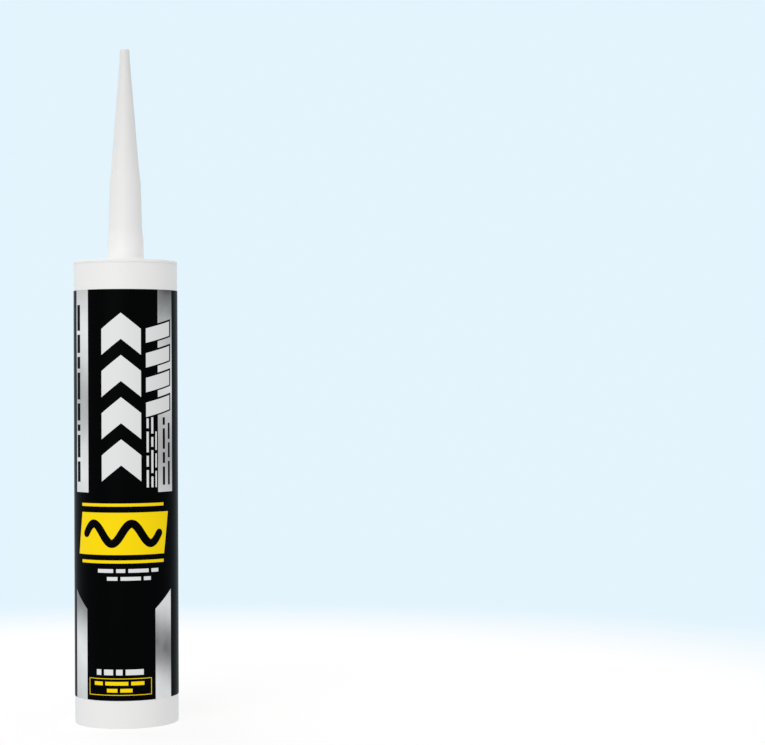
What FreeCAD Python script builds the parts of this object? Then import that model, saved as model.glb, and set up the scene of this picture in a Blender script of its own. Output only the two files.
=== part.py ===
import FreeCAD, Part
import math
import os

# Caulk tube, in millimetres. It stands on its open rear end: the origin is the centre of the rear
# rim, +Z runs along the tube to the nozzle's tip and -Y faces the viewer. It is made of an extruded
# barrel, a head moulded in one with the nozzle, a foil seal, a plunger, the sealant and a film label.

# Barrel: a plain tube, eased inside its open rear end
barrel_diameter = 48.3
barrel_wall = 1.15
barrel_length = 214.4
mouth_depth = 6.0
mouth_relief = 0.25
rim_round = 0.2

# Head: a flange that caps the barrel and a plug that centres it in the bore
flange_thickness = 1.6
flange_round = 0.8
plug_depth = 5.0
plug_wall = 1.2
plug_clearance = 0.05
plug_lead_in = 0.5

# Nozzle, from the flange up: a collar, a step, a shank, a shoulder, a long cone and a straight tip.
# The diameters are those at the corners between these sections.
root_diameter = 17.2
root_round = 1.6
collar_height = 10.5
collar_top_diameter = 16.8
step_height = 4.0
shank_bottom_diameter = 15.7
shank_height = 23.0
shank_top_diameter = 14.5
shoulder_height = 5.0
cone_bottom_diameter = 13.1
cone_height = 52.5
tip_bottom_diameter = 4.7
tip_height = 5.0
tip_diameter = 4.4
tip_round = 0.5
corner_blend = 1.5
nozzle_wall = 1.25
tip_skin = 1.2

# Foil seal over the inside of the nozzle's mouth
seal_overlap = 2.5
seal_thickness = 0.15

# Plunger: a cup with a stepped crown that faces the sealant, and two sealing lips on its skirt
plunger_length = 18.0
plunger_wall = 1.4
crown_thickness = 1.6
nose_height = 3.2
nose_side_gap = 0.8
lip_height = 3.0
lip_clearance = 0.05
lip_round = 0.5
waist_relief = 0.45
crown_round = 1.0

# Sealant: its length in the bore, from the plunger's shoulder to the plug, makes it 266 ml
fill_length = 159.1
fill_wall_gap = 0.05
fill_face_gap = 0.1

# Label: a film wrapped once round the barrel, with its ends lapped at the back
label_bottom_margin = 12.8
label_top_margin = 12.4
label_thickness = 0.12
adhesive_thickness = 0.02
lap_width = 8.0

# Radii and levels that follow from the sizes above
barrel_radius = barrel_diameter / 2
bore_radius = barrel_radius - barrel_wall
head_top = barrel_length + flange_thickness
plug_radius = bore_radius - plug_clearance
plug_inner_radius = plug_radius - plug_wall
plug_bottom = barrel_length - plug_depth
channel_radius = root_diameter / 2 - nozzle_wall
seal_bottom = barrel_length - seal_thickness
lip_radius = bore_radius - lip_clearance
waist_radius = lip_radius - waist_relief
cup_radius = waist_radius - plunger_wall
nose_radius = plug_inner_radius - nose_side_gap
nose_inner_radius = nose_radius - crown_thickness

# The fill stands on the plunger, with a pocket for its nose, and reaches up inside the plug
fill_radius = bore_radius - fill_wall_gap
fill_plug_radius = plug_inner_radius - fill_wall_gap
fill_top = seal_bottom - fill_face_gap
fill_bottom = plug_bottom - fill_face_gap - fill_length
nose_pocket_radius = nose_radius + fill_wall_gap
plunger_shoulder = fill_bottom - fill_face_gap
plunger_back = plunger_shoulder - plunger_length


def point(radius, height):
    return FreeCAD.Vector(radius, 0, height)


def turned(corners):
    """Solid of revolution about Z. A corner is (radius, height) or (radius, height, blend), where
    blend is how far from the corner its tangent arc starts."""
    count = len(corners)
    bends = []
    for index, (radius, height, *blend) in enumerate(corners):
        here = point(radius, height)
        if not blend:
            bends.append((here, here, None))
            continue
        back = (point(*corners[index - 1][:2]) - here).normalize()
        onward = (point(*corners[(index + 1) % count][:2]) - here).normalize()
        half_angle = back.getAngle(onward) / 2
        arc_radius = blend[0] * math.tan(half_angle)
        centre_distance = blend[0] / math.cos(half_angle)
        start = here + back * blend[0]
        middle = here + (back + onward).normalize() * (centre_distance - arc_radius)
        end = here + onward * blend[0]
        bends.append((start, end, Part.Arc(start, middle, end)))
    edges = []
    for index, (start, end, arc) in enumerate(bends):
        if arc:
            edges.append(arc.toShape())
        following = bends[(index + 1) % count][0]
        edges.append(Part.LineSegment(end, following).toShape())
    outline = Part.Face(Part.Wire(edges))
    return outline.revolve(FreeCAD.Vector(0, 0, 0), FreeCAD.Vector(0, 0, 1), 360)


def barrel():
    mouth_radius = bore_radius + mouth_relief
    return turned([
        (mouth_radius, 0, rim_round),
        (barrel_radius, 0, rim_round),
        (barrel_radius, barrel_length),
        (bore_radius, barrel_length),
        (bore_radius, mouth_depth + mouth_relief),
        (mouth_radius, mouth_depth),
    ])


def nozzle_corners(inset):
    """Corners of the nozzle's side from the collar up to the tip, moved in by inset."""
    sections = [
        (collar_height, collar_top_diameter),
        (step_height, shank_bottom_diameter),
        (shank_height, shank_top_diameter),
        (shoulder_height, cone_bottom_diameter),
        (cone_height, tip_bottom_diameter),
    ]
    corners = []
    height = head_top
    for section_height, top_diameter in sections:
        height += section_height
        corners.append((top_diameter / 2 - inset, height, corner_blend))
    return corners


def nozzle_head():
    tip_top = nozzle_corners(0)[-1][1] + tip_height
    outside = [
        (barrel_radius, barrel_length),
        (barrel_radius, head_top, flange_round),
        (root_diameter / 2, head_top, root_round),
        *nozzle_corners(0),
        (tip_diameter / 2, tip_top, tip_round),
        (0, tip_top),
    ]
    channel = [
        (0, tip_top - tip_skin),
        (tip_diameter / 2 - nozzle_wall, tip_top - tip_skin),
        *reversed(nozzle_corners(nozzle_wall)),
        (channel_radius, barrel_length),
    ]
    plug = [
        (plug_inner_radius, barrel_length),
        (plug_inner_radius, plug_bottom),
        (plug_radius - plug_lead_in, plug_bottom),
        (plug_radius, plug_bottom + plug_lead_in),
        (plug_radius, barrel_length),
    ]
    return turned(outside + channel + plug)


def inner_seal():
    seal_radius = channel_radius + seal_overlap
    base = FreeCAD.Vector(0, 0, seal_bottom)
    return Part.makeCylinder(seal_radius, seal_thickness, base)


def plunger():
    crown_inside = plunger_shoulder - crown_thickness
    nose_top = plunger_shoulder + nose_height
    nose_inside = nose_top - crown_thickness
    rear_lip_top = plunger_back + lip_height
    front_lip_bottom = plunger_shoulder - lip_height
    return turned([
        (0, nose_top),
        (nose_radius, nose_top, crown_round),
        (nose_radius, plunger_shoulder),
        (lip_radius, plunger_shoulder, lip_round),
        (lip_radius, front_lip_bottom),
        (waist_radius, front_lip_bottom - waist_relief),
        (waist_radius, rear_lip_top + waist_relief),
        (lip_radius, rear_lip_top),
        (lip_radius, plunger_back, lip_round),
        (cup_radius, plunger_back),
        (cup_radius, crown_inside),
        (nose_inner_radius, crown_inside),
        (nose_inner_radius, nose_inside),
        (0, nose_inside),
    ])


def sealant():
    body = turned([
        (0, fill_bottom),
        (fill_radius, fill_bottom),
        (fill_radius, plug_bottom - fill_face_gap),
        (fill_plug_radius, plug_bottom - fill_face_gap),
        (fill_plug_radius, fill_top),
        (0, fill_top),
    ])
    pocket_base = FreeCAD.Vector(0, 0, fill_bottom)
    pocket = Part.makeCylinder(nose_pocket_radius, nose_height, pocket_base)
    return body.cut(pocket)


def label():
    inner_radius = barrel_radius + adhesive_thickness
    outer_radius = inner_radius + label_thickness
    lap_radius = outer_radius + label_thickness
    height = barrel_length - label_bottom_margin - label_top_margin
    base = FreeCAD.Vector(0, 0, label_bottom_margin)
    up = FreeCAD.Vector(0, 0, 1)
    wrap = Part.makeCylinder(outer_radius, height, base)
    lap_angle = math.degrees(lap_width / outer_radius)
    lap = Part.makeCylinder(lap_radius, height, base, up, lap_angle)
    lap.rotate(base, up, 90 - lap_angle / 2)
    core = Part.makeCylinder(inner_radius, height, base)
    return wrap.fuse(lap).cut(core).removeSplitter()


nodes = {
    "barrel": barrel(),
    "nozzle_head": nozzle_head(),
    "inner_seal": inner_seal(),
    "plunger": plunger(),
    "sealant": sealant(),
    "label": label(),
}

os.makedirs("parts", exist_ok=True)
for name, shape in nodes.items():
    solid = shape.Solids[0]
    solid.exportStep(f"parts/{name}.step")
    bounds = solid.BoundBox
    print(f"{name}: {solid.Volume / 1000:.2f} ml, z {bounds.ZMin:.2f} to {bounds.ZMax:.2f}, "
          f"{len(shape.Solids)} solid, valid {solid.isValid()}")
print(f"plunger back at {plunger_back:.2f}, shoulder at {plunger_shoulder:.2f}, "
      f"travel to the plug {plug_bottom - plunger_shoulder:.2f}")
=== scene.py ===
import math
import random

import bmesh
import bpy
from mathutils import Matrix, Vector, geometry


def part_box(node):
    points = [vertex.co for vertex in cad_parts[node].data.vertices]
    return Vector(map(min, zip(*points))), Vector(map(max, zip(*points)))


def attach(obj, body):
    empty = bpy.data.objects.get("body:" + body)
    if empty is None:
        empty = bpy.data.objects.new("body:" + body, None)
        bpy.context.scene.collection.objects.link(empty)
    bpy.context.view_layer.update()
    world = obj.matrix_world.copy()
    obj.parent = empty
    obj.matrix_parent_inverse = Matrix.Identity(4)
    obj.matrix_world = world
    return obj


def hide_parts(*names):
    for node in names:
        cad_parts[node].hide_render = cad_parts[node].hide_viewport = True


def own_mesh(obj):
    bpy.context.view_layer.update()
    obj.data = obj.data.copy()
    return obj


bl_info = {
    "name": "Caulk Tube",
    "version": (1, 0, 0),
    "blender": (4, 5, 0),
    "location": "3D View > Sidebar > Caulk Tube",
    "description": "Dresses a sealant tube: white plastic, a printed film label and a pale studio",
    "category": "Object",
}

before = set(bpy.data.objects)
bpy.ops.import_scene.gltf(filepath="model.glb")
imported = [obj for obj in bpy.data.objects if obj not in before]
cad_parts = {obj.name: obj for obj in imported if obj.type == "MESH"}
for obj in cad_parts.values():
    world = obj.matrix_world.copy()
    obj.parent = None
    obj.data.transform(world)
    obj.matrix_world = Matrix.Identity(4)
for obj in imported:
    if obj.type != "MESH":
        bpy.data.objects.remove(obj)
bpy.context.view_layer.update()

MM = 0.001
BARREL_LOW, BARREL_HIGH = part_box("barrel")
HEAD_LOW, HEAD_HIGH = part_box("nozzle_head")
PLUNGER_LOW, PLUNGER_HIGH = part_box("plunger")
FILL_LOW, FILL_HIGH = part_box("sealant")
LABEL_LOW, LABEL_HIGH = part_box("label")

# Forms that several pieces share: the head's flange, the plunger's nose, and the gaps round the fill
FLANGE = 1.6 * MM
HEAD_TOP = BARREL_HIGH.z + FLANGE
NOSE_RADIUS = 20.95 * MM
NOSE_HEIGHT = 3.2 * MM
SIDE_GAP = 0.05 * MM
FACE_GAP = 0.1 * MM

# Radius and height above the head, in millimetres, of the corners of the nozzle's side
NOZZLE_CORNERS = ((8.4, 10.5), (7.85, 14.5), (7.25, 37.5), (6.55, 42.5), (2.35, 95.0))


# Properties


def length(name, description, default):
    return bpy.props.FloatProperty(name=name, description=description, default=default,
                                   min=0.0, precision=5, subtype="DISTANCE", unit="LENGTH")


def colour(name, description, default):
    return bpy.props.FloatVectorProperty(name=name, description=description, default=default,
                                         min=0.0, max=1.0, size=3, subtype="COLOR")


def edges_across(name, description, edges):
    """Two places across the unrolled film, given here in millimetres from the front's middle."""
    return bpy.props.FloatVectorProperty(name=name, description=description, size=2,
                                         default=[edge * MM for edge in edges], precision=5,
                                         unit="LENGTH")


def share(name, description, default):
    return bpy.props.FloatProperty(name=name, description=description, default=default,
                                   min=0.0, max=1.0, subtype="FACTOR")


def power(name, description, default):
    return bpy.props.FloatProperty(name=name, description=description, default=default,
                                   min=0.0, unit="POWER")


class TubeSizes(bpy.types.PropertyGroup):
    """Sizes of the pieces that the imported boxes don't give."""

    wall: length("Barrel Wall", "Thickness of the barrel's wall", 1.15 * MM)
    mouth_depth: length("Mouth Depth", "Length of the eased lead-in at the rear", 6.0 * MM)
    mouth_relief: length("Mouth Relief", "How much wider the lead-in is, on radius", 0.25 * MM)
    rim_round: length("Rim Rounding", "Rounding of the rear rim's edges", 0.2 * MM)
    seam_bevel: length("Seam Bevel", "Bevel on each side of the weld seam", 0.15 * MM)
    flange_round: length("Flange Rounding", "Rounding of the head's top edge", 0.8 * MM)
    plug_wall: length("Plug Wall", "Thickness of the plug's skirt", 1.2 * MM)
    root_radius: length("Nozzle Root", "Radius of the nozzle where it meets the head", 8.6 * MM)
    root_round: length("Root Rounding", "Fillet at the nozzle's root", 2.4 * MM)
    tip_radius: length("Tip Radius", "Radius of the nozzle's closed tip", 2.2 * MM)
    tip_round: length("Tip Rounding", "Rounding of the tip's edge", 0.5 * MM)
    nozzle_wall: length("Nozzle Wall", "Thickness of the nozzle's wall", 1.25 * MM)
    corner_blend: length("Corner Blend", "Length over which the nozzle's corners blend", 2.0 * MM)
    parting_width: length("Parting Line Width", "Width of the mould's parting line", 0.3 * MM)
    parting_height: length("Parting Line Height", "How far the line stands out", 0.04 * MM)
    film: length("Film Thickness", "Thickness of the label's film", 0.12 * MM)
    lap: length("Lap Width", "Width over which the label's ends lap", 8.0 * MM)


class TubeFinish(bpy.types.PropertyGroup):
    """Colours and roughness of the pieces."""

    barrel: colour("Barrel", "White of the extruded barrel", (0.85, 0.842, 0.832))
    nozzle: colour("Nozzle", "White of the moulded head and nozzle", (0.855, 0.847, 0.835))
    plunger: colour("Plunger", "Natural white of the plunger", (0.78, 0.775, 0.75))
    paste: colour("Sealant", "White of the sealant", (0.85, 0.85, 0.83))
    foil: colour("Foil", "Colour of the foil seal", (0.82, 0.82, 0.83))
    film_edge: colour("Film Edge", "Unprinted film", (0.8, 0.8, 0.79))
    black_ink: colour("Black Ink", "Ground of the label", (0.001, 0.001, 0.0011))
    white_ink: colour("White Ink", "White print", (0.765, 0.765, 0.77))
    yellow_ink: colour("Yellow Ink", "Yellow print", (0.98, 0.71, 0.002))
    silver_light: colour("Light Silver", "Bright bands of the silver print", (0.82, 0.82, 0.82))
    silver_dark: colour("Dark Silver", "Dull bands of the silver print", (0.08, 0.08, 0.08))
    plastic_roughness: share("Plastic Roughness", "Roughness of the white plastic", 0.42)
    film_roughness: share("Film Roughness", "Roughness of the printed film", 0.3)


class TubePrint(bpy.types.PropertyGroup):
    """Places of the label's silver print on the unrolled film, across from the front's middle."""

    left_stripe: edges_across("Left Stripe", "Outer and inner edge of the upper left stripe",
                              (-29.2, -19.3))
    right_stripe: edges_across("Right Stripe", "Outer and inner edge of the upper right stripe",
                               (25.7, 15.7))
    left_panel: edges_across("Left Panel", "Outer and inner edge of the lower left panel",
                             (-30.0, -20.4))
    right_panel: edges_across("Right Panel", "Outer and inner edge of the lower right panel",
                              (24.1, 13.9))
    stripe_foot: length("Stripe Foot", "Lower end of the upper stripes", 108.3 * MM)
    panel_top: length("Panel Top", "Top of a lower panel at its outer edge", 63.0 * MM)
    panel_slope: length("Panel Slope", "How much lower its top is at its inner edge", 8.5 * MM)
    stripe_peak: length("Stripe Peak", "Height of a bright band of the stripes", 171.8 * MM)
    stripe_period: length("Stripe Period", "Height from one bright band to the next", 62.0 * MM)
    panel_peak: length("Panel Peak", "Height of a bright band of the panels", 24.9 * MM)
    panel_period: length("Panel Period", "Height from one bright band to the next", 44.4 * MM)


class TubeStudio(bpy.types.PropertyGroup):
    """Floor, backdrop and light."""

    backdrop: colour("Backdrop", "Colour of the far floor and the sky", (0.77, 0.905, 0.985))
    floor: colour("Floor", "Colour of the floor round the tube", (0.4, 0.4, 0.4))
    floor_glow: share("Floor Glow", "How much white the floor shows besides its colour", 0.65)
    white_reach: length("White Reach", "How far the floor stays white round the tube", 0.30)
    fade_reach: length("Fade Reach", "Where the floor has turned to the backdrop's colour", 0.55)
    ambient: share("Ambient", "Strength of the even light from all round", 0.74)
    key: power("Key Light", "Power of the soft light at the front left", 8.5)
    back: power("Back Light", "Power of the soft light high up at the back left", 3.5)


# Shader nodes


class Number:
    """A number in a shader. Arithmetic on it adds Math nodes to its tree."""

    def __init__(self, shader, socket):
        self.shader = shader
        self.socket = socket

    def math(self, operation, *values):
        node = self.shader.node("ShaderNodeMath", {"operation": operation}, values)
        return Number(self.shader, node.outputs[0])

    def __add__(self, other):
        return self.math("ADD", self, other)

    def __sub__(self, other):
        return self.math("SUBTRACT", self, other)

    def __rsub__(self, other):
        return self.math("SUBTRACT", other, self)

    def __mul__(self, other):
        return self.math("MULTIPLY", self, other)

    def __truediv__(self, other):
        return self.math("DIVIDE", self, other)

    def __rtruediv__(self, other):
        return self.math("DIVIDE", other, self)

    __radd__ = __add__
    __rmul__ = __mul__

    def cosine(self):
        return self.math("COSINE", self)

    def greatest(self, other):
        return self.math("MAXIMUM", self, other)

    def least(self, other):
        return self.math("MINIMUM", self, other)

    def clamped(self):
        return self.greatest(0.0).least(1.0)


class Shader:
    """The node tree of a material or of the world."""

    def __init__(self, owner):
        owner.use_nodes = True
        self.tree = owner.node_tree
        self.tree.nodes.clear()

    def node(self, kind, settings=None, inputs=()):
        """Adds a node: its settings first, then the values or links of its sockets."""
        made = self.tree.nodes.new(kind)
        for name, value in (settings or {}).items():
            setattr(made, name, value)
        pairs = inputs.items() if isinstance(inputs, dict) else enumerate(inputs)
        for key, value in pairs:
            if isinstance(value, Number):
                value = value.socket
            if isinstance(value, bpy.types.NodeSocket):
                self.tree.links.new(value, made.inputs[key])
            else:
                made.inputs[key].default_value = value
        return made

    def number(self, node, name):
        return Number(self, node.outputs[name])

    def place(self):
        """The point in the tube's own frame, in metres."""
        return self.node("ShaderNodeTexCoord").outputs["Object"]

    def parts(self, vector):
        """A node whose outputs X, Y and Z are the parts of a vector."""
        return self.node("ShaderNodeSeparateXYZ", inputs={"Vector": vector})

    def stretched(self, vector, factors):
        inputs = {"Vector": vector, "Scale": factors}
        return self.node("ShaderNodeMapping", inputs=inputs).outputs["Vector"]

    def noise(self, vector, scale, detail=2.0):
        inputs = {"Vector": vector, "Scale": scale, "Detail": detail}
        return self.number(self.node("ShaderNodeTexNoise", inputs=inputs), "Fac")

    def mix_colour(self, factor, first, second):
        """Mixes two colours, which are the Mix node's inputs 6 and 7 and its output 2."""
        inputs = {"Factor": factor, 6: first, 7: second}
        return self.node("ShaderNodeMix", {"data_type": "RGBA"}, inputs).outputs[2]

    def brightened(self, tone, factor):
        inputs = {"Vector": tone, "Scale": factor}
        return self.node("ShaderNodeVectorMath", {"operation": "SCALE"}, inputs).outputs[0]

    def bump(self, height, distance):
        inputs = {"Height": height, "Distance": distance, "Strength": 1.0}
        return self.node("ShaderNodeBump", inputs=inputs).outputs["Normal"]

    def surface(self, inputs):
        principled = self.node("ShaderNodeBsdfPrincipled", inputs=inputs)
        self.node("ShaderNodeOutputMaterial", inputs={"Surface": principled.outputs[0]})


def rgba(tone, factor=1.0):
    return (*(min(1.0, part * factor) for part in tone), 1.0)


def new_shader(name):
    material = bpy.data.materials.new(name)
    return material, Shader(material)


# Materials


def extruded_plastic(name, tone, roughness):
    """Satin polyethylene with the faint lines of extrusion along the tube."""
    material, shader = new_shader(name)
    place = shader.place()
    draw_lines = shader.noise(shader.stretched(place, (900.0, 900.0, 6.0)), scale=1.0)
    haze = shader.noise(place, scale=55.0, detail=3.0)
    unevenness = 0.012
    shader.surface({
        "Base Color": shader.mix_colour(haze, rgba(tone, 1 - unevenness), rgba(tone, 1 + unevenness)),
        "Roughness": roughness - 0.04 + draw_lines * 0.05 + haze * 0.03,
        "Normal": shader.bump(draw_lines, distance=0.004 * MM),
        "Specular IOR Level": 0.4,
        "Subsurface Weight": 0.12,
        "Subsurface Scale": 1.5 * MM,
        "Subsurface Radius": (1.0, 0.9, 0.8),
    })
    return material


def moulded_plastic(name, tone, roughness, painted_light=None):
    """Satin injection-moulded polyethylene with a fine sparked grain. An optional function of height
    paints light into its colour: it gives the share of its tone that the colour is scaled by at a
    height."""
    material, shader = new_shader(name)
    place = shader.place()
    grain = shader.noise(place, scale=5200.0)
    flow = shader.noise(shader.stretched(place, (1.0, 1.0, 0.35)), scale=70.0, detail=3.0)
    unevenness = 0.015
    plastic = shader.mix_colour(flow, rgba(tone, 1 - unevenness), rgba(tone, 1 + unevenness))
    # Painted light: the colour is scaled by a share that changes with height.
    if painted_light:
        height = shader.number(shader.parts(place), "Z")
        plastic = shader.brightened(plastic, painted_light(height))
    shader.surface({
        "Base Color": plastic,
        "Roughness": roughness - 0.03 + flow * 0.05 + grain * 0.04,
        "Normal": shader.bump(grain, distance=0.0035 * MM),
        "Specular IOR Level": 0.4,
        "Subsurface Weight": 0.35,
        "Subsurface Scale": 2.5 * MM,
        "Subsurface Radius": (1.0, 0.95, 0.9),
    })
    return material


def nozzle_painted_light(height):
    """Painted light: the head keeps its plain tone, the nozzle's thick root gets a painted highlight
    and its thin tip painted shade.
    """
    root_height, root_fade, root_painted_highlight = 5.0 * MM, 11.0 * MM, 0.085
    tip_start, tip_fade, tip_painted_shade = 20.0 * MM, 80.0 * MM, 0.135
    head_fade = 0.8 * MM
    above_head = height - HEAD_TOP
    on_nozzle = (above_head / head_fade + 0.5).clamped()
    root = (1 - (above_head - root_height) / root_fade).clamped()
    tip = ((above_head - tip_start) / tip_fade).greatest(0.0)
    # A painted highlight near the root and painted shade towards the tip.
    return 1 + on_nozzle * root * root_painted_highlight - tip * tip_painted_shade


def ink(name, tone, roughness, specular):
    """Flat print under a satin film: the colour is even, the gloss is a little uneven."""
    material, shader = new_shader(name)
    place = shader.place()
    orange_peel = shader.noise(place, scale=900.0)
    handling = shader.noise(shader.stretched(place, (1.0, 1.0, 0.4)), scale=60.0, detail=3.0)
    shader.surface({
        "Base Color": rgba(tone),
        "Roughness": roughness - 0.04 + handling * 0.08,
        "Normal": shader.bump(orange_peel, distance=0.002 * MM),
        "Specular IOR Level": specular,
    })
    return material


def silver_ink(name, finish, peak, period, dullest, low_pace):
    """Silver print that shades from light to dull on the slant, with a brushed grain. It is bright at
    the height peak and each period above it, and falls to the share dullest in between. Under the
    peak the shading runs at the share low_pace of its pace. Its top right corner is dark."""
    material, shader = new_shader(name)
    place = shader.place()
    parts = shader.parts(place)
    lean = 0.6
    corner_start, corner_fade = 199.0 * MM, 14.0 * MM
    slant = shader.number(parts, "Z") + shader.number(parts, "X") * lean
    away = slant - peak
    away = away.greatest(away * low_pace)
    bands = (away * (2 * math.pi / period)).cosine() * 0.5 + 0.5
    corner = ((slant - corner_start) / corner_fade).clamped()
    sheen = (bands * (1 - dullest) + dullest) * (1 - corner)
    brushed = shader.noise(shader.stretched(place, (60.0, 60.0, 4000.0)), scale=1.0)
    clouds = shader.noise(shader.stretched(place, (1.0, 1.0, 0.7)), scale=150.0, detail=3.0)
    tone = sheen * 0.94 + brushed * 0.06 + (clouds - 0.5) * 0.26
    shader.surface({
        "Base Color": shader.mix_colour(tone, rgba(finish.silver_dark), rgba(finish.silver_light)),
        "Roughness": finish.film_roughness + brushed * 0.1,
        "Normal": shader.bump(brushed, distance=0.002 * MM),
        "Metallic": 0.12,
        "Specular IOR Level": 0.2,
    })
    return material


def foil(name, tone):
    """Thin metal foil with a fine crinkle."""
    material, shader = new_shader(name)
    crinkle = shader.noise(shader.place(), scale=700.0, detail=4.0)
    shader.surface({
        "Base Color": rgba(tone),
        "Metallic": 1.0,
        "Roughness": 0.24 + crinkle * 0.12,
        "Normal": shader.bump(crinkle, distance=0.05 * MM),
    })
    return material


def paste(name, tone):
    """Smooth wet sealant."""
    material, shader = new_shader(name)
    lumps = shader.noise(shader.place(), scale=160.0, detail=3.0)
    shader.surface({
        "Base Color": rgba(tone),
        "Roughness": 0.3 + lumps * 0.12,
        "Normal": shader.bump(lumps, distance=0.12 * MM),
        "Coat Weight": 0.2,
    })
    return material


# Meshes


def rounded(corners, steps):
    """The points of an outline. A corner is (radius, height) or (radius, height, blend), where blend
    is how far from the corner its tangent arc starts."""
    points = []
    count = len(corners)
    for index, (radius, height, *blend) in enumerate(corners):
        here = Vector((radius, height))
        if not blend:
            points.append(here)
            continue
        back = (Vector(corners[index - 1][:2]) - here).normalized()
        onward = (Vector(corners[(index + 1) % count][:2]) - here).normalized()
        half_angle = back.angle(onward) / 2
        centre = here + (back + onward).normalized() * (blend[0] / math.cos(half_angle))
        start = here + back * blend[0] - centre
        end = here + onward * blend[0] - centre
        sweep = start.angle_signed(end)
        for step in range(steps + 1):
            turn = Matrix.Rotation(-sweep * step / steps, 2)
            points.append(centre + turn @ start)
    return points


def even_turns(count):
    return [2 * math.pi * step / count for step in range(count)]


def spun(name, corners, turns, relief=None, steps=6):
    """A closed solid of revolution about Z. relief(turn, radius, height) moves a point outwards."""
    vertices = []
    rings = []
    for point in rounded(corners, steps):
        on_axis = point.x < 1e-7
        count = 1 if on_axis else len(turns)
        rings.append(range(len(vertices), len(vertices) + count))
        if on_axis:
            vertices.append((0.0, 0.0, point.y))
            continue
        for turn in turns:
            radius = point.x + (relief(turn, point.x, point.y) if relief else 0.0)
            vertices.append((radius * math.cos(turn), radius * math.sin(turn), point.y))
    pairs = list(zip(rings, rings[1:]))
    if len(rings[0]) > 1 or len(rings[-1]) > 1:
        pairs.append((rings[-1], rings[0]))
    faces = []
    for here, there in pairs:
        for step in range(len(turns)):
            following = (step + 1) % len(turns)
            if len(here) == 1:
                faces.append((here[0], there[step], there[following]))
            elif len(there) == 1:
                faces.append((here[step], there[0], here[following]))
            else:
                faces.append((here[step], there[step], there[following], here[following]))
    made = piece(name, vertices, faces)
    outwards(made)
    return made


def piece(name, vertices, faces):
    """An object with smooth faces, and sharp edges where they meet at an angle."""
    sharp_angle = math.radians(32)
    mesh = bpy.data.meshes.new(name)
    mesh.from_pydata(vertices, [], faces)
    mesh.validate()
    mesh.polygons.foreach_set("use_smooth", [True] * len(mesh.polygons))
    mesh.set_sharp_from_angle(angle=sharp_angle)
    made = bpy.data.objects.new(name, mesh)
    bpy.context.scene.collection.objects.link(made)
    return made


def outwards(made):
    """Turns a closed mesh's faces to point out of it."""
    work = bmesh.new()
    work.from_mesh(made.data)
    bmesh.ops.recalc_face_normals(work, faces=work.faces)
    work.to_mesh(made.data)
    work.free()


def dress(made, materials, body, node):
    """Gives a piece its materials and its body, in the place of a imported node."""
    for material in materials:
        made.data.materials.append(material)
    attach(made, body)
    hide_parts(node)


def nozzle_radius(nozzle, height):
    """Radius of the nozzle's side at a height, where nozzle has the corners from the root up."""
    lower = [corner for corner in nozzle if corner[1] <= height]
    upper = [corner for corner in nozzle if corner[1] > height]
    if not lower:
        return upper[0][0]
    if not upper:
        return lower[-1][0]
    first, second = lower[-1], upper[0]
    along = (height - first[1]) / (second[1] - first[1])
    return first[0] + (second[0] - first[0]) * along


def parting_line(sizes, nozzle):
    """A relief for a fine ridge up the right and the left side of the nozzle."""
    low = HEAD_TOP + 2.5 * MM
    high = HEAD_HIGH.z - 0.6 * MM
    skin = 0.4 * MM

    def relief(turn, radius, height):
        if not low <= height <= high or radius < nozzle_radius(nozzle, height) - skin:
            return 0.0
        apart = abs(math.sin(turn)) * radius
        return sizes.parting_height * max(0.0, 1.0 - apart / (sizes.parting_width / 2))

    return relief


def turns_with_parting(count):
    """Even turns, and close ones where the parting line runs."""
    close = [math.radians(offset) for offset in (-3.0, -1.5, -0.7, 0.7, 1.5, 3.0)]
    turns = even_turns(count) + close + [math.pi + offset for offset in close]
    return sorted({round(turn % (2 * math.pi), 6) for turn in turns})


# Label print, drawn on the unrolled film in millimetres across and up


def bar(left, bottom, width, height, slant=0.0):
    """A bar whose right side stands higher by slant."""
    right = left + width
    return [(left, bottom), (right, bottom + slant), (right, bottom + height + slant),
            (left, bottom + height)]


def chevron(middle, foot, width, rise, thickness):
    left, right = middle - width / 2, middle + width / 2
    return [(left, foot), (middle, foot + rise), (right, foot), (right, foot + thickness),
            (middle, foot + rise + thickness), (left, foot + thickness)]


def wave(left, right, middle, swing, thickness, periods):
    """A band of even thickness with round ends along a sine wave."""
    steps, cap_steps = 96, 10
    above = []
    below = []
    caps = []
    for step in range(steps + 1):
        along = step / steps
        phase = 2 * math.pi * periods * along
        slope = swing * math.cos(phase) * 2 * math.pi * periods / (right - left)
        centre = Vector((left + (right - left) * along, middle + swing * math.sin(phase)))
        normal = Vector((-slope, 1.0)).normalized() * (thickness / 2)
        above.append(centre + normal)
        below.append(centre - normal)
        if step in (0, steps):
            side = normal if step == 0 else -normal
            caps.append([centre + Matrix.Rotation(math.pi * turn / cap_steps, 2) @ side
                         for turn in range(1, cap_steps)])
    return [tuple(point) for point in below + caps[1] + above[::-1] + caps[0]]


def row(left, bottom, height, widths, gap):
    """Bars from left to right that stand for a line of small print."""
    bars = []
    for width in widths:
        bars.append(bar(left, bottom, width, height))
        left += width + gap
    return bars


def column(left, bottom, width, heights, gap):
    """Bars going up that stand for a line of small print turned upright."""
    bars = []
    for height in heights:
        bars.append(bar(left, bottom, width, height))
        bottom += height + gap
    return bars


def inked(name, *lines):
    """The outlines of some lines as (ink, outline) pairs of one ink."""
    return [(name, outline) for line in lines for outline in line]


def ground_fields(film):
    """The black ground, with a strip of bare film along the end that laps over the other."""
    height = film.top - film.bottom
    bare = 0.5
    return [("black", bar(film.left, film.bottom, film.right - film.left, height)),
            ("edge", bar(film.right - bare, film.bottom, bare, height))]


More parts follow.
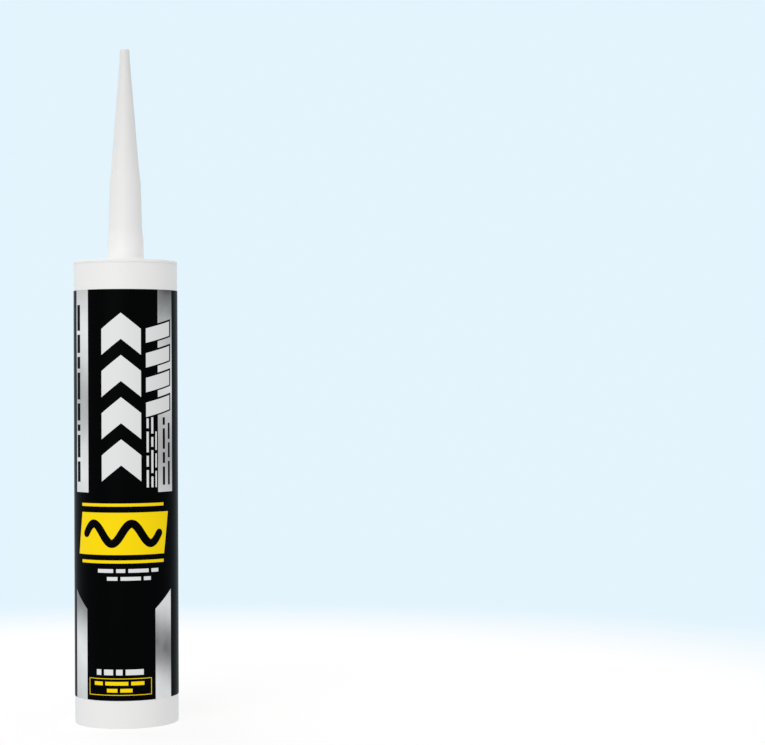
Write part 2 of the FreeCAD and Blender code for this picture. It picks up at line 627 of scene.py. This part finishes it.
def silver_fields(design, film):
    """The upper stripes and the lower panels, whose tops are cut on the slant."""
    foot = design.stripe_foot / MM
    outer_top = design.panel_top / MM
    inner_top = outer_top - design.panel_slope / MM
    fields = []
    for edges in (design.left_stripe, design.right_stripe):
        outer, inner = (edge / MM for edge in edges)
        fields.append(("stripe", bar(min(outer, inner), foot, abs(outer - inner), film.top - foot)))
    for edges in (design.left_panel, design.right_panel):
        outer, inner = (edge / MM for edge in edges)
        fields.append(("panel", [(outer, film.bottom), (inner, film.bottom),
                                 (inner, inner_top), (outer, outer_top)]))
    return fields


def white_fields():
    """A column of chevrons, and slanted bars with a thin black border beside it."""
    fields = []
    for step in range(4):
        foot = 113.5 + 19.4 * step
        shape = chevron(middle=-2.3, foot=foot, width=18.6, rise=7.4, thickness=12.0)
        fields.append(("white", shape))
    for step in range(4):
        bottom = 143.0 + 11.4 * step
        fields.append(("black", bar(8.5, bottom - 0.9, width=15.9, height=8.3, slant=3.9)))
        fields.append(("white", bar(9.4, bottom, width=14.1, height=6.7, slant=3.5)))
    return fields


def small_fields():
    """Lines of bars in white on the black ground, and in black on the silver stripes."""
    return inked(
        "white",
        column(9.6, 110.6, width=1.1, heights=(8.0, 5.0, 9.5, 4.5), gap=1.6),
        column(12.0, 110.6, width=1.1, heights=(5.0, 10.5, 4.5, 7.5), gap=1.6),
        column(14.2, 110.6, width=0.8, heights=(7.5, 6.5, 8.5), gap=1.6),
        row(-13.8, 71.6, height=1.7, widths=(7.6, 4.2, 9.6, 3.8), gap=1.4),
        row(-9.2, 68.0, height=1.7, widths=(5.0, 9.4, 3.5), gap=1.4),
        row(-14.6, 24.6, height=2.6, widths=(2.4, 4.4, 3.0, 8.4), gap=1.4),
    ) + inked(
        "black",
        column(18.6, 111.5, width=1.5, heights=(8.5, 5.0, 9.5, 3.5), gap=1.6),
        column(22.2, 111.5, width=1.5, heights=(11.0, 7.0, 7.5), gap=1.6),
        column(-28.3, 113.0, width=2.9, gap=1.8,
               heights=(9.5, 10.5, 3.0, 8.0, 12.5, 5.5, 8.5, 12.0)),
    )


def yellow_fields():
    """A leaning panel with a wave between two lines, and at the foot a frame with lines of bars."""
    line_left, line_width, line_height = -23.9, 42.8, 1.4
    return [
        ("yellow", bar(line_left, 102.0, line_width, line_height)),
        ("yellow", [(-26.6, 79.8), (19.2, 79.8), (22.0, 99.2), (-23.8, 99.2)]),
        ("black", wave(-20.6, 16.2, middle=89.5, swing=4.6, thickness=3.8, periods=2.0)),
        ("yellow", bar(line_left, 75.9, line_width, line_height)),
        ("yellow", bar(-18.9, 15.3, width=30.7, height=7.8)),
        ("black", bar(-18.6, 15.6, width=30.1, height=7.2)),
    ] + inked(
        "yellow",
        row(-15.8, 19.9, height=1.7, widths=(4.3, 10.8, 6.2), gap=1.3),
        row(-9.4, 16.7, height=1.7, widths=(5.0, 5.6), gap=1.3),
    )


def small_print(chance, left, top, width, lines):
    """Lines of thin bars as long as words, with a short last line."""
    height, pitch, gap, shortest = 0.9, 2.6, 1.0, 1.5
    bars = []
    for line in range(lines):
        last = line == lines - 1
        reach = width * (chance.uniform(0.35, 0.7) if last else chance.uniform(0.93, 1.0))
        along = 0.0
        while along < reach - shortest:
            word = min(chance.uniform(1.6, 6.5), reach - along)
            bars.append(bar(left + along, top - line * pitch - height, word, height))
            along += word + gap
    return bars


def back_fields():
    """Two columns of small print at the back, one each side of the lap. A column has its left edge
    and its sections, and a section has its top, the width of its heading and its lines."""
    chance = random.Random(5)
    columns = (
        (-69.5, ((188.0, 22.0, 11), (151.0, 17.0, 14), (106.0, 26.0, 9))),
        (36.5, ((188.0, 19.0, 9), (156.0, 28.0, 16), (106.0, 14.0, 10))),
    )
    width, heading_height = 33.0, 2.4
    rule_bottom, rule_height, notes_top = 68.0, 0.8, 64.5
    box_bottom, box_height, border = 20.0, 20.0, 0.4
    fields = []
    for left, sections in columns:
        for top, heading, lines in sections:
            fields.append(("yellow", bar(left, top - heading_height, heading, heading_height)))
            text_top = top - 2 * heading_height
            fields += inked("white", small_print(chance, left, text_top, width, lines))
        fields.append(("yellow", bar(left, rule_bottom, width, rule_height)))
        fields += inked("white", small_print(chance, left, notes_top, width, lines=6))
    (left, _), (right, _) = columns
    fields += [
        ("white", bar(left, box_bottom, width, box_height)),
        ("yellow", bar(right, box_bottom, width, box_height)),
        ("black", bar(right + border, box_bottom + border, width - 2 * border,
                      box_height - 2 * border)),
    ]
    box_print = small_print(chance, left=39.5, top=36.6, width=27.0, lines=6)
    return fields + inked("yellow", box_print)


def label_fields(design, film):
    """The print as (ink, outline) pairs, each over those before it."""
    return (ground_fields(film) + silver_fields(design, film) + white_fields() + small_fields()
            + yellow_fields() + back_fields())


# Label film


class Film:
    """The unrolled film in millimetres, from the front's middle, and how it wraps the barrel. Its
    right end rises on a ramp over its left end, with a fine gap between the two."""

    ramp = 1.0
    lap_gap = 0.004

    def __init__(self, sizes):
        self.radius = -LABEL_LOW.y / MM
        self.thickness = sizes.film / MM
        self.lap_lift = (LABEL_HIGH.y + LABEL_LOW.y) / MM
        self.bottom, self.top = LABEL_LOW.z / MM, LABEL_HIGH.z / MM
        half_turn = math.pi * self.radius
        half_lap = sizes.lap / MM / 2
        self.left, self.right = -half_turn - half_lap, half_turn + half_lap
        self.ramp_end = half_turn - half_lap
        self.ramp_start = self.ramp_end - self.ramp

    def wrapped(self, across, up, inside):
        """Where a point of the film's outer or inner face lies on the tube, in metres."""
        rise = min(1.0, max(0.0, (across - self.ramp_start) / self.ramp))
        lapped = self.lap_lift - self.lap_gap
        thickness = self.thickness + (lapped - self.thickness) * rise
        reach = (self.radius + self.lap_lift * rise - inside * thickness) * MM
        turn = across / self.radius
        return reach * math.sin(turn), -reach * math.cos(turn), up * MM


def counter_clockwise(outline):
    following = outline[1:] + outline[:1]
    area = sum(x * next_y - next_x * y for (x, y), (next_x, next_y) in zip(outline, following))
    return outline if area > 0 else outline[::-1]


def cut_film(film, fields):
    """The flat film cut along its print: its points, its triangles and the ink of each triangle."""
    points = []
    outlines = []
    for _, outline in fields:
        outlines.append(list(range(len(points), len(points) + len(outline))))
        points += counter_clockwise(outline)
    columns = 152
    width = film.right - film.left
    places = [film.left + width * step / columns for step in range(1, columns)]
    edges = []
    for across in (*places, film.ramp_start, film.ramp_end):
        edges.append((len(points), len(points) + 1))
        points += [(across, film.bottom), (across, film.top)]
    whole_hull, tolerance = 0, 1e-5
    flat, _, triangles, _, _, owners = geometry.delaunay_2d_cdt(
        [Vector(point) for point in points], edges, outlines, whole_hull, tolerance)
    return flat, triangles, [fields[max(owner)][0] for owner in owners]


def open_edges(triangles):
    """The edges that only one triangle has, in that triangle's direction."""
    found = {}
    for triangle in triangles:
        for first, second in zip(triangle, triangle[1:] + triangle[:1]):
            key = (min(first, second), max(first, second))
            found[key] = None if key in found else (first, second)
    return [edge for edge in found.values() if edge]


def label_mesh(name, design, film, inks):
    """The film as a closed sheet round the barrel, cut along its print. inks lists the names of its
    materials in order."""
    flat, triangles, printed = cut_film(film, label_fields(design, film))
    count = len(flat)
    vertices = [film.wrapped(across, up, inside) for inside in (False, True) for across, up in flat]
    outer = [tuple(triangle) for triangle in triangles]
    inner = [tuple(corner + count for corner in reversed(triangle)) for triangle in triangles]
    rims = [(second, first, first + count, second + count)
            for first, second in open_edges(triangles)]
    made = piece(name, vertices, outer + inner + rims)
    mesh = made.data
    ink_names = printed + ["edge"] * (len(inner) + len(rims))
    normals = []
    for polygon, ink_name in zip(mesh.polygons, ink_names):
        polygon.material_index = inks.index(ink_name)
        side = 1.0 if polygon.index < len(outer) else -1.0
        for corner in polygon.vertices:
            if polygon.index < len(outer) + len(inner):
                x, y, _ = mesh.vertices[corner].co
                normals.append(Vector((x, y, 0.0)).normalized() * side)
            else:
                normals.append(polygon.normal.copy())
    mesh.normals_split_custom_set(normals)
    return made


# Operators


class TUBE_OT_barrel(bpy.types.Operator):
    """Builds the extruded barrel with its eased rear mouth"""

    bl_idname = "caulk_tube.barrel"
    bl_label = "Barrel"

    def execute(self, context):
        sizes = context.scene.tube_sizes
        finish = context.scene.tube_finish
        outside = BARREL_HIGH.x
        bore = outside - sizes.wall
        mouth = bore + sizes.mouth_relief
        foot, top = BARREL_LOW.z, BARREL_HIGH.z
        corners = [
            (mouth, foot, sizes.rim_round),
            (outside, foot, sizes.rim_round),
            (outside, top - sizes.seam_bevel),
            (outside - sizes.seam_bevel, top),
            (bore, top),
            (bore, foot + sizes.mouth_depth + sizes.mouth_relief),
            (mouth, foot + sizes.mouth_depth),
        ]
        made = spun("barrel_shell", corners, even_turns(192))
        plastic = extruded_plastic("White extruded plastic", finish.barrel, finish.plastic_roughness)
        dress(made, [plastic], "cartridge", "barrel")
        return {"FINISHED"}


class TUBE_OT_nozzle_head(bpy.types.Operator):
    """Builds the head and the tapered nozzle, moulded as one piece"""

    bl_idname = "caulk_tube.nozzle_head"
    bl_label = "Head and Nozzle"

    def execute(self, context):
        sizes = context.scene.tube_sizes
        finish = context.scene.tube_finish
        outside = HEAD_HIGH.x
        seam = BARREL_HIGH.z
        plug = outside - sizes.wall - SIDE_GAP
        plug_inside = plug - sizes.plug_wall
        plug_bottom = HEAD_LOW.z
        plug_lead_in = 0.5 * MM
        tip_top = HEAD_HIGH.z
        tip_skin = 1.2 * MM
        dimple_depth, dimple_floor, dimple_mouth = 0.15 * MM, 0.7 * MM, 0.85 * MM
        nozzle = [(radius * MM, HEAD_TOP + height * MM, sizes.corner_blend)
                  for radius, height in NOZZLE_CORNERS]
        channel = [(radius - sizes.nozzle_wall, height, blend) for radius, height, blend in nozzle]
        corners = [
            (0.0, tip_top - dimple_depth),
            (dimple_floor, tip_top - dimple_depth),
            (dimple_mouth, tip_top),
            (sizes.tip_radius, tip_top, sizes.tip_round),
            *reversed(nozzle),
            (sizes.root_radius, HEAD_TOP, sizes.root_round),
            (outside, HEAD_TOP, sizes.flange_round),
            (outside, seam + sizes.seam_bevel),
            (outside - sizes.seam_bevel, seam),
            (plug, seam),
            (plug, plug_bottom + plug_lead_in),
            (plug - plug_lead_in, plug_bottom),
            (plug_inside, plug_bottom),
            (plug_inside, seam),
            (sizes.root_radius - sizes.nozzle_wall, seam),
            *channel,
            (sizes.tip_radius - sizes.nozzle_wall, tip_top - tip_skin),
            (0.0, tip_top - tip_skin),
        ]
        made = spun("head_and_nozzle", corners, turns_with_parting(160),
                    parting_line(sizes, nozzle), steps=8)
        # The nozzle's colour carries painted light: a painted highlight at the root, painted shade at
        # the tip.
        plastic = moulded_plastic("White moulded plastic", finish.nozzle, finish.plastic_roughness,
                                  nozzle_painted_light)
        dress(made, [plastic], "cartridge", "nozzle_head")
        return {"FINISHED"}


class TUBE_OT_plunger(bpy.types.Operator):
    """Builds the plunger, a cup with two sealing lips"""

    bl_idname = "caulk_tube.plunger"
    bl_label = "Plunger"

    def execute(self, context):
        finish = context.scene.tube_finish
        back, nose_top = PLUNGER_LOW.z, PLUNGER_HIGH.z
        shoulder = nose_top - NOSE_HEIGHT
        crown, wall, waist_relief = 1.6 * MM, 1.4 * MM, 0.45 * MM
        lip = PLUNGER_HIGH.x
        lip_height, lip_round, lip_edge, waist_round = 3.0 * MM, 0.5 * MM, 0.3 * MM, 0.2 * MM
        waist = lip - waist_relief
        cup = waist - wall
        front_lip = shoulder - lip_height
        rear_lip = back + lip_height
        gate_depth, gate_foot, gate_end, gate_round = 0.35 * MM, 1.3 * MM, 1.0 * MM, 0.1 * MM
        corners = [
            (0.0, nose_top),
            (NOSE_RADIUS, nose_top, 1.0 * MM),
            (NOSE_RADIUS, shoulder, 0.3 * MM),
            (lip, shoulder, lip_round),
            (lip, front_lip, lip_edge),
            (waist, front_lip - waist_relief, waist_round),
            (waist, rear_lip + waist_relief, waist_round),
            (lip, rear_lip, lip_edge),
            (lip, back, lip_round),
            (cup, back, 0.4 * MM),
            (cup, shoulder - crown, 0.8 * MM),
            (NOSE_RADIUS - crown, shoulder - crown, 0.4 * MM),
            (NOSE_RADIUS - crown, nose_top - crown, 0.6 * MM),
            (gate_foot, nose_top - crown, gate_round),
            (gate_end, nose_top - crown - gate_depth, gate_round),
            (0.0, nose_top - crown - gate_depth),
        ]
        made = spun("plunger_cup", corners, even_turns(144))
        plastic = moulded_plastic("Natural moulded plastic", finish.plunger,
                                  finish.plastic_roughness)
        dress(made, [plastic], "plunger", "plunger")
        return {"FINISHED"}


class TUBE_OT_sealant(bpy.types.Operator):
    """Builds the sealant between the plunger and the head, on a mesh of its own"""

    bl_idname = "caulk_tube.sealant"
    bl_label = "Sealant"

    def execute(self, context):
        finish = context.scene.tube_finish
        sizes = context.scene.tube_sizes
        bottom, top = FILL_LOW.z, FILL_HIGH.z
        radius = FILL_HIGH.x
        neck = HEAD_HIGH.x - sizes.wall - SIDE_GAP - sizes.plug_wall - SIDE_GAP
        neck_bottom = HEAD_LOW.z - FACE_GAP
        pocket = NOSE_RADIUS + SIDE_GAP
        pocket_top = bottom + NOSE_HEIGHT
        edge_round = 0.3 * MM
        corners = [
            (0.0, top),
            (neck, top, edge_round),
            (neck, neck_bottom),
            (radius, neck_bottom, edge_round),
            (radius, bottom),
            (pocket, bottom),
            (pocket, pocket_top),
            (0.0, pocket_top),
        ]
        made = spun("sealant_fill", corners, even_turns(96))
        white = paste("White sealant", finish.paste)
        dress(made, [white], "cartridge", "sealant")
        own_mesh(made)
        return {"FINISHED"}


class TUBE_OT_inner_seal(bpy.types.Operator):
    """Gives the foil seal its finish"""

    bl_idname = "caulk_tube.inner_seal"
    bl_label = "Foil Seal"

    def execute(self, context):
        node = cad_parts["inner_seal"]
        node.data.materials.clear()
        node.data.materials.append(foil("Seal foil", context.scene.tube_finish.foil))
        return {"FINISHED"}


class TUBE_OT_label(bpy.types.Operator):
    """Wraps the printed film round the barrel"""

    bl_idname = "caulk_tube.label"
    bl_label = "Label"

    def execute(self, context):
        scene = context.scene
        finish = scene.tube_finish
        design = scene.tube_print
        roughness = finish.film_roughness
        inks = {
            "black": ink("Black label ink", finish.black_ink, roughness, specular=0.014),
            "white": ink("White label ink", finish.white_ink, roughness, specular=0.2),
            "yellow": ink("Yellow label ink", finish.yellow_ink, roughness, specular=0.06),
            "stripe": silver_ink("Silver stripe ink", finish, design.stripe_peak,
                                 design.stripe_period, dullest=0.48, low_pace=0.94),
            "panel": silver_ink("Silver panel ink", finish, design.panel_peak,
                                design.panel_period, dullest=0.17, low_pace=0.36),
            "edge": ink("Bare label film", finish.film_edge, roughness, specular=0.2),
        }
        made = label_mesh("label_wrap", design, Film(scene.tube_sizes), list(inks))
        dress(made, inks.values(), "cartridge", "label")
        return {"FINISHED"}


class TUBE_OT_stage(bpy.types.Operator):
    """Sets up the floor, the sky, the light and the camera"""

    bl_idname = "caulk_tube.stage"
    bl_label = "Studio"

    def execute(self, context):
        scene = context.scene
        studio = scene.tube_studio
        add_floor(scene, studio)
        add_sky(scene, studio)
        add_light(scene, "key", studio.key, size=1.5, place=(-0.68, -1.4, 0.7))
        add_light(scene, "back", studio.back, size=1.1, place=(-0.5, 1.0, 1.35))
        add_camera(scene)
        scene.view_settings.view_transform = "Standard"
        return {"FINISHED"}


# Studio


def add_floor(scene, studio):
    """A round floor that is seen, and shaded, only by the camera and only from above."""
    reach = 9.0
    rim = [(reach * math.cos(turn), reach * math.sin(turn), 0.0) for turn in even_turns(96)]
    mesh = bpy.data.meshes.new("floor")
    mesh.from_pydata(rim, [], [tuple(range(len(rim)))])
    floor = bpy.data.objects.new("floor", mesh)
    scene.collection.objects.link(floor)
    material, shader = new_shader("Studio floor")
    mesh.materials.append(material)
    away = shader.node("ShaderNodeVectorMath", {"operation": "LENGTH"}, [shader.place()])
    fade = shader.node("ShaderNodeMapRange", {"interpolation_type": "SMOOTHSTEP"}, {
        "Value": away.outputs["Value"],
        "From Min": studio.white_reach,
        "From Max": studio.fade_reach,
    })
    paint = shader.node("ShaderNodeBsdfDiffuse", inputs={"Color": rgba(studio.floor)})
    glow = shader.node("ShaderNodeEmission", inputs={"Strength": studio.floor_glow})
    near = shader.node("ShaderNodeAddShader", inputs=[paint.outputs[0], glow.outputs[0]])
    far = shader.node("ShaderNodeEmission", inputs={"Color": rgba(studio.backdrop)})
    ground = shader.node("ShaderNodeMixShader", inputs=[
        fade.outputs["Result"], near.outputs[0], far.outputs[0]])
    rays = shader.node("ShaderNodeLightPath")
    faces = shader.node("ShaderNodeNewGeometry")
    seen = shader.number(rays, "Is Camera Ray") * (1 - shader.number(faces, "Backfacing"))
    clear = shader.node("ShaderNodeBsdfTransparent")
    top = shader.node("ShaderNodeMixShader", inputs=[seen, clear.outputs[0], ground.outputs[0]])
    shader.node("ShaderNodeOutputMaterial", inputs={"Surface": top.outputs[0]})


def add_sky(scene, studio):
    """Even white light from all round. The camera and reflections see the pale backdrop."""
    world = bpy.data.worlds.new("Studio")
    scene.world = world
    shader = Shader(world)
    light = shader.node("ShaderNodeBackground", inputs={
        "Color": (1.0, 1.0, 1.0, 1.0), "Strength": studio.ambient})
    backdrop = shader.node("ShaderNodeBackground", inputs={
        "Color": rgba(studio.backdrop), "Strength": 1.0})
    rays = shader.node("ShaderNodeLightPath")
    mirrored = shader.number(rays, "Is Glossy Ray")
    looked_through = shader.number(rays, "Is Transmission Ray")
    seen = shader.number(rays, "Is Camera Ray").greatest(mirrored.greatest(looked_through))
    sky = shader.node("ShaderNodeMixShader", inputs=[seen, light.outputs[0], backdrop.outputs[0]])
    shader.node("ShaderNodeOutputWorld", inputs={"Surface": sky.outputs[0]})


def add_light(scene, name, energy, size, place):
    """A round soft lamp that points at the middle of the tube and isn't seen itself."""
    middle = Vector((0.0, 0.0, 0.16))
    lamp = bpy.data.lights.new(name, "AREA")
    lamp.shape = "DISK"
    lamp.size = size
    lamp.energy = energy
    holder = bpy.data.objects.new(name, lamp)
    scene.collection.objects.link(holder)
    holder.location = place
    aim = middle - holder.location
    holder.rotation_euler = aim.to_track_quat("-Z", "Y").to_euler()
    holder.visible_camera = False


def add_camera(scene):
    """The view of the photograph, whose frame is 765 by 745 pixels with the tube at its left."""
    camera = bpy.data.cameras.new("camera")
    camera.lens = 96.0
    camera.sensor_width = 36.0
    camera.clip_start = 0.01
    holder = bpy.data.objects.new("camera", camera)
    scene.collection.objects.link(holder)
    distance = 0.9686
    height = 0.158
    yaw = math.radians(7.17)
    pitch = math.radians(0.31)
    roll = math.radians(-0.25)
    holder.location = (0.0, -distance, height)
    holder.rotation_mode = "QUATERNION"
    level = math.cos(pitch)
    ahead = Vector((math.sin(yaw) * level, math.cos(yaw) * level, math.sin(pitch)))
    facing = ahead.to_track_quat("-Z", "Y")
    holder.rotation_quaternion = facing @ Matrix.Rotation(roll, 3, "Z").to_quaternion()
    scene.camera = holder


# Add-on


class TUBE_PT_panel(bpy.types.Panel):
    """Lists the tube's pieces and settings"""

    bl_idname = "TUBE_PT_panel"
    bl_label = "Caulk Tube"
    bl_space_type = "VIEW_3D"
    bl_region_type = "UI"
    bl_category = "Caulk Tube"

    def draw(self, context):
        for step in STEPS:
            self.layout.operator(step.bl_idname)
        for name in PROPERTY_GROUPS:
            box = self.layout.box()
            group = getattr(context.scene, name)
            for setting in group.__annotations__:
                box.prop(group, setting)


STEPS = (TUBE_OT_barrel, TUBE_OT_nozzle_head, TUBE_OT_plunger, TUBE_OT_sealant,
         TUBE_OT_inner_seal, TUBE_OT_label, TUBE_OT_stage)
PROPERTY_GROUPS = {
    "tube_sizes": TubeSizes,
    "tube_finish": TubeFinish,
    "tube_print": TubePrint,
    "tube_studio": TubeStudio,
}


def register():
    for kind in (*PROPERTY_GROUPS.values(), *STEPS, TUBE_PT_panel):
        bpy.utils.register_class(kind)
    for name, kind in PROPERTY_GROUPS.items():
        setattr(bpy.types.Scene, name, bpy.props.PointerProperty(type=kind))


def unregister():
    for name in PROPERTY_GROUPS:
        delattr(bpy.types.Scene, name)
    for kind in reversed((*PROPERTY_GROUPS.values(), *STEPS, TUBE_PT_panel)):
        bpy.utils.unregister_class(kind)


def main():
    register()
    bpy.ops.caulk_tube.barrel()
    bpy.ops.caulk_tube.nozzle_head()
    bpy.ops.caulk_tube.plunger()
    bpy.ops.caulk_tube.sealant()
    bpy.ops.caulk_tube.inner_seal()
    bpy.ops.caulk_tube.label()
    bpy.ops.caulk_tube.stage()


if __name__ == "__main__":
    main()
